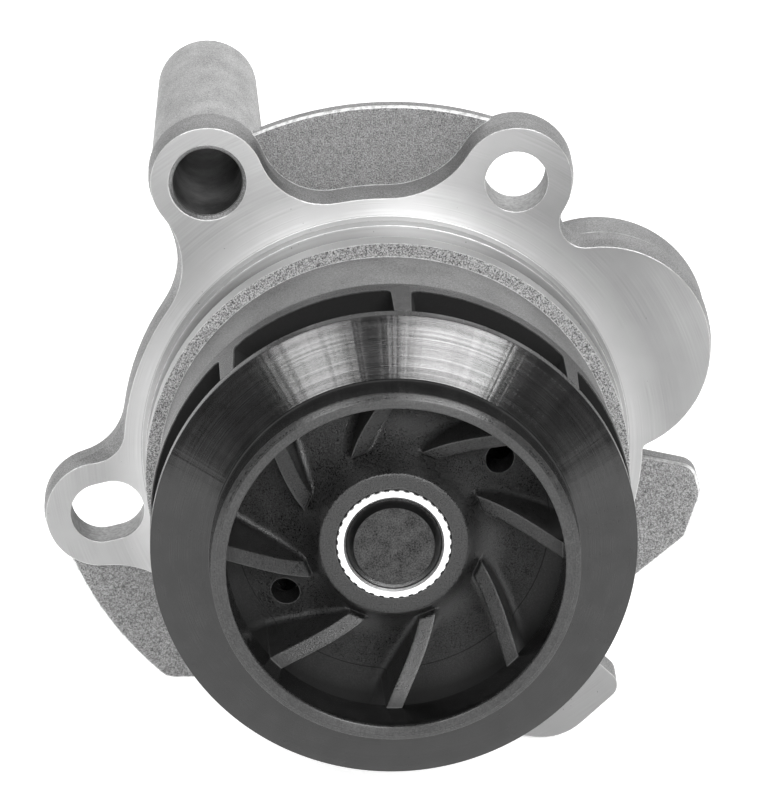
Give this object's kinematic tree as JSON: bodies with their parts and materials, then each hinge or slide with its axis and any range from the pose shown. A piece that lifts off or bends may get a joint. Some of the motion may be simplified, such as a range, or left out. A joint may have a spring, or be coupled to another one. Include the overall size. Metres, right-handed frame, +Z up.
{
  "type": "water pump",
  "caption": "Belt-driven coolant pump with a flanged cast housing, a closed impeller in front and a toothed pulley behind on one sealed shaft.",
  "frame": {"origin": "on the shaft axis, in the plane of the flange face that bolts to the engine block", "axes": "Y along the shaft, with the impeller towards -Y and the belt pulley towards +Y; +Z up, +X to the right seen from the impeller side"},
  "size_m": [0.0913, 0.0922, 0.0901],
  "materials": {
    "cast_housing": "die-cast skin, machined faces",
    "bearing_steel": "ground",
    "shaft_steel": "ground, darkened end",
    "ball_steel": "polished",
    "cage_plastic": "moulded",
    "seal_rubber": "moulded",
    "pressed_steel": "pressed stainless",
    "spring_steel": "drawn wire",
    "seal_carbon": "lapped carbon",
    "seal_ceramic": "lapped ceramic",
    "impeller_plastic": "satin moulded, grained",
    "shroud_plastic": "satin with fine turned rings",
    "insert_metal": "bright, knurled",
    "pulley_steel": "sintered"
  },
  "bodies": {
    "housing": {"housing": "cast_housing", "bearing_outer_ring": "bearing_steel", "front_bearing_seal": "seal_rubber", "rear_bearing_seal": "seal_rubber", "seal_case": "pressed_steel", "seal_bellows": "seal_rubber", "seal_spring": "spring_steel", "seal_spring_retainer": "pressed_steel", "carbon_face_ring": "seal_carbon"},
    "rotor": {"pump_shaft": "shaft_steel", "impeller_body": "impeller_plastic", "impeller_shroud": "shroud_plastic", "impeller_insert": "insert_metal", "seat_sleeve": "pressed_steel", "seat_rubber_cup": "seal_rubber", "ceramic_seat_ring": "seal_ceramic", "water_slinger": "seal_rubber", "toothed_pulley": "pulley_steel"},
    "front_cage": {"front_ball_cage": "cage_plastic", "front_ball_row": "ball_steel"},
    "rear_cage": {"rear_ball_cage": "cage_plastic", "rear_ball_row": "ball_steel"}
  },
  "joints": [
    {"name": "shaft_spin", "type": "hinge", "parent": "housing", "child": "rotor", "pos_m": [0, 0, 0], "axis": [0, 1, 0], "continuous": true},
    {"name": "front_cage_spin", "type": "hinge", "parent": "housing", "child": "front_cage", "pos_m": [0, 0.0055, 0], "axis": [0, 1, 0], "continuous": true},
    {"name": "rear_cage_spin", "type": "hinge", "parent": "housing", "child": "rear_cage", "pos_m": [0, 0.0225, 0], "axis": [0, 1, 0], "continuous": true}
  ],
  "couplings": [
    {"joint": "front_cage_spin", "follows": "shaft_spin", "ratio": 0.34587},
    {"joint": "rear_cage_spin", "follows": "shaft_spin", "ratio": 0.34587}
  ]
}
